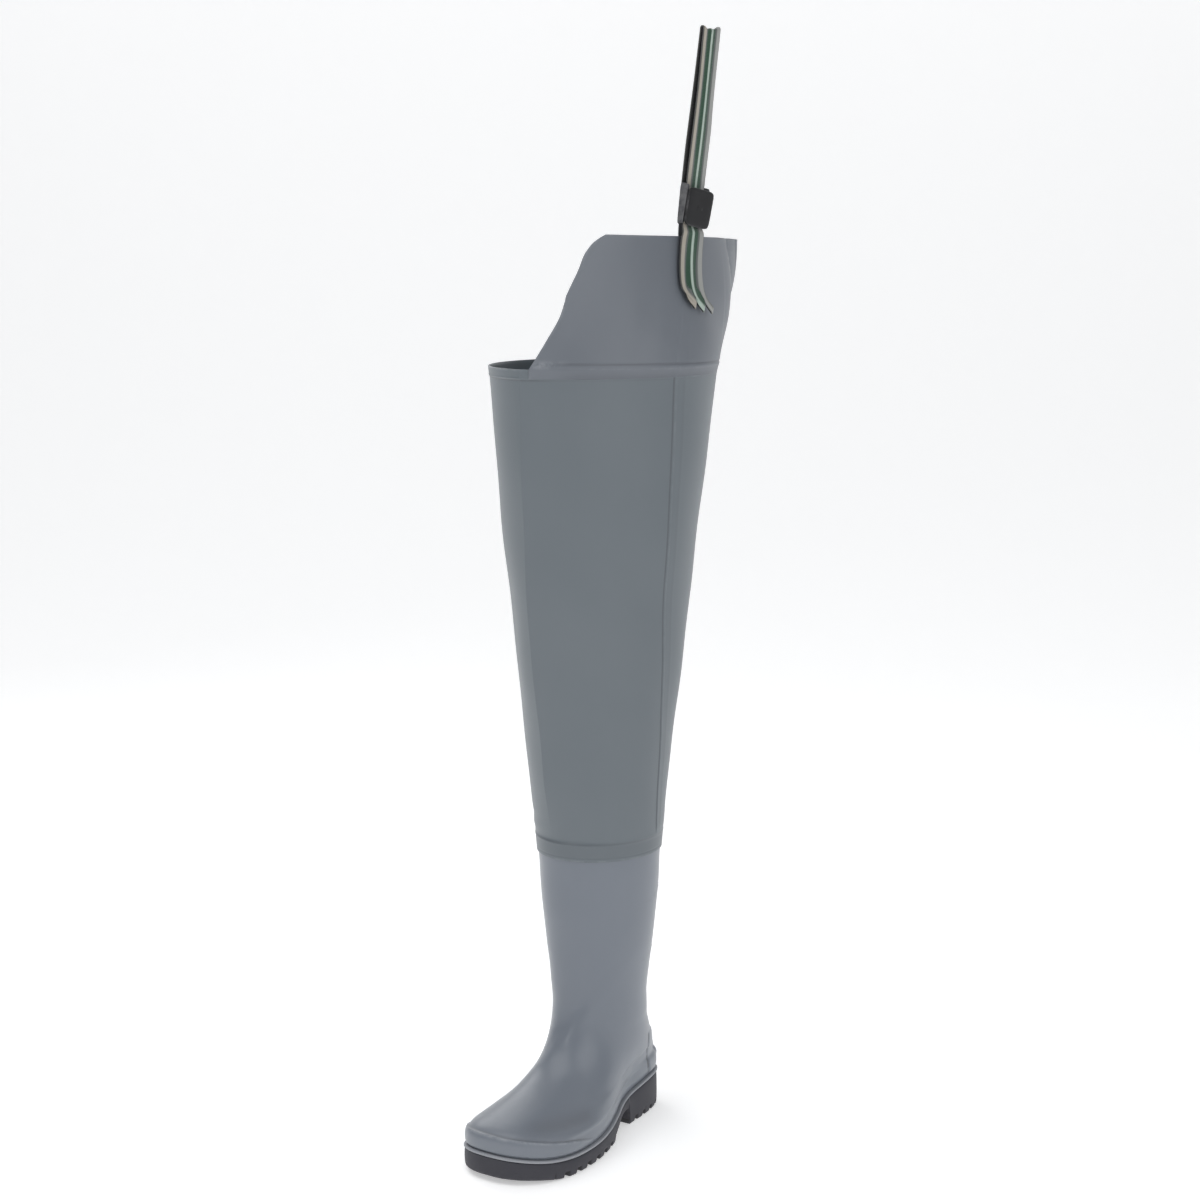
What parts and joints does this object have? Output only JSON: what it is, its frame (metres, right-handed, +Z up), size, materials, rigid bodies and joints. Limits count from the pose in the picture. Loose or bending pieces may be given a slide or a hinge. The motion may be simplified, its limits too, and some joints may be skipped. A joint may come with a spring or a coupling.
{
  "type": "hip wader",
  "caption": "Left hip wader: moulded boot with lugged sole, thin tapered leg sheet, outer hip flap, adjustable elastic hanging strap with buckle.",
  "frame": {"origin": "centre of the heel tread, on the floor", "axes": "-Y towards the toe, +X towards the outer side of the left leg, +Z up"},
  "size_m": [0.244, 0.3732, 1.2],
  "materials": {
    "sole": "matte moulded charcoal",
    "welt": "satin light grey",
    "insole": "matte felt",
    "boot": "satin moulded grey",
    "sheet": "satin coated sheet, grey",
    "dark_patch": "satin dark grey",
    "webbing": "woven stripes, green and pale grey",
    "buckle": "satin black",
    "eyelet": "bright rivet ring"
  },
  "bodies": {
    "root": {"outsole": "sole", "welt": "welt", "insole": "insole", "boot_upper": "boot", "leg": "sheet", "hip_flap": "sheet", "strap_tab": "sheet", "tab_patch": "dark_patch", "round_patch": "sheet", "elastic_strap": "webbing", "buckle_frame": "buckle", "buckle_lever": "buckle", "eyelet": "eyelet"}
  },
  "joints": []
}
